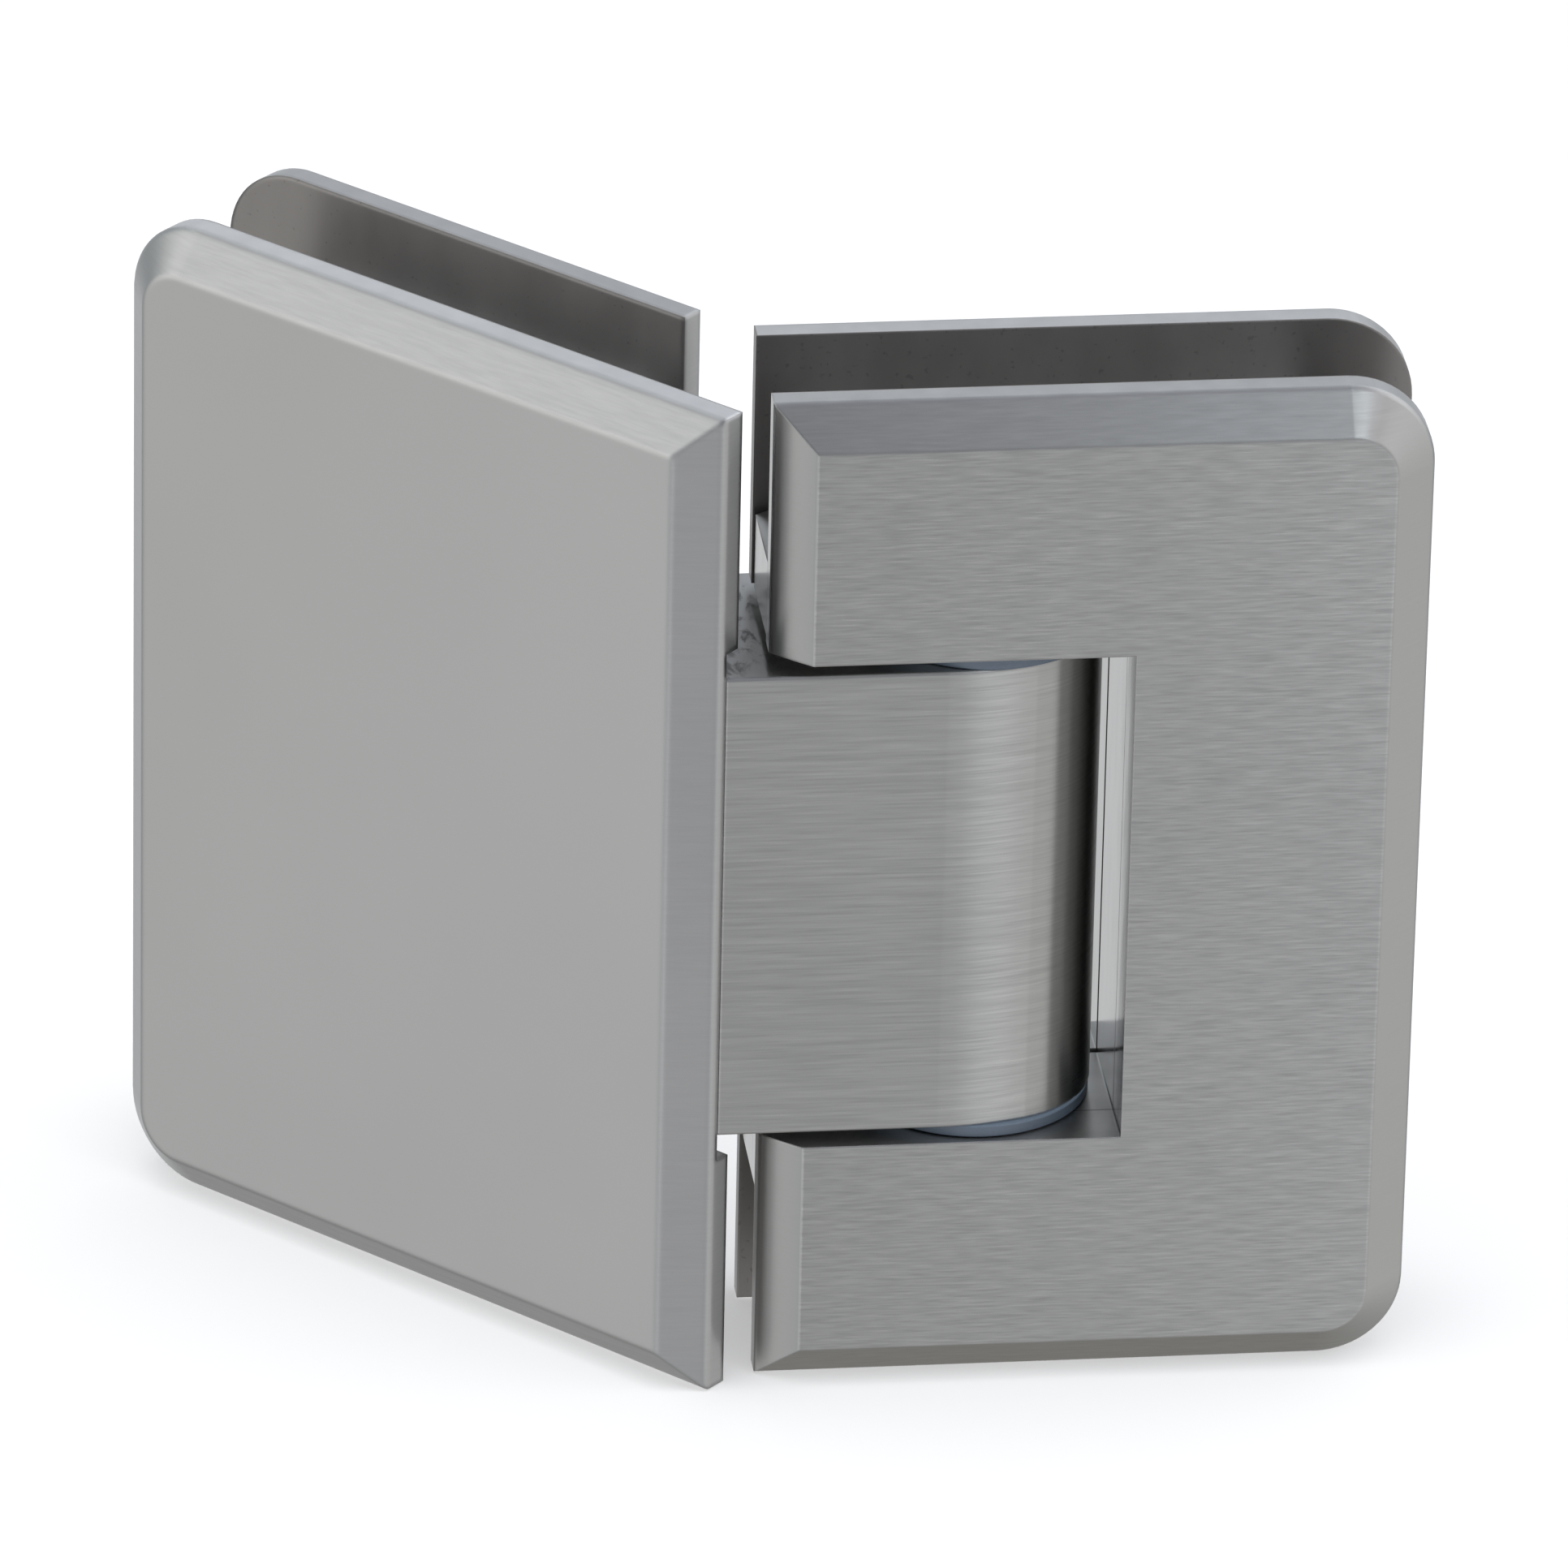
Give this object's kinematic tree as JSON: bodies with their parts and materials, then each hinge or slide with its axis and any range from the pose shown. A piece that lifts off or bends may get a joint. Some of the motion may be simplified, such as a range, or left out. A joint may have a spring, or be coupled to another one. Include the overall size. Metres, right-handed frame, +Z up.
{
  "type": "glass door hinge",
  "caption": "Glass-to-glass shower door hinge with bevelled clamp plates, holding two panels at an obtuse angle on a central pivot barrel.",
  "frame": {"origin": "on the pivot axis at the plates' mid-height, in the mid-plane of the door's glass", "axes": "+Z up the pivot axis, +X from the pivot into the door's glass, -Y out of the door leaf's visible faces"},
  "size_m": [0.104, 0.0561, 0.09],
  "materials": {
    "plates": "satin nickel, brushed",
    "block": "satin nickel, brushed",
    "gaskets": "matt translucent grey",
    "bushings": "smooth blue-grey nylon",
    "pin": "ground",
    "fasteners": "bright stainless",
    "plungers": "smooth acetal",
    "springs": "drawn wire"
  },
  "bodies": {
    "fixed_leaf": {"fixed_front_plate": "plates", "fixed_rear_plate": "plates", "pivot_block": "block", "fixed_front_gasket": "gaskets", "fixed_rear_gasket": "gaskets", "upper_bushing": "bushings", "lower_bushing": "bushings", "fixed_plate_screws": "fasteners", "block_screws": "fasteners", "upper_detent_plug": "fasteners", "lower_detent_plug": "fasteners", "upper_detent_plunger": "plungers", "lower_detent_plunger": "plungers", "upper_detent_spring": "springs", "lower_detent_spring": "springs"},
    "door_leaf": {"door_front_plate": "plates", "door_rear_plate": "plates", "door_front_gasket": "gaskets", "door_rear_gasket": "gaskets", "door_plate_screws": "fasteners", "pivot_pin": "pin", "pin_set_screws": "fasteners"}
  },
  "joints": [
    {"name": "door_swing", "type": "hinge", "parent": "fixed_leaf", "child": "door_leaf", "pos_m": [0, 0, 0], "axis": [0, 0, 1], "range_deg": [-90, 90]}
  ]
}
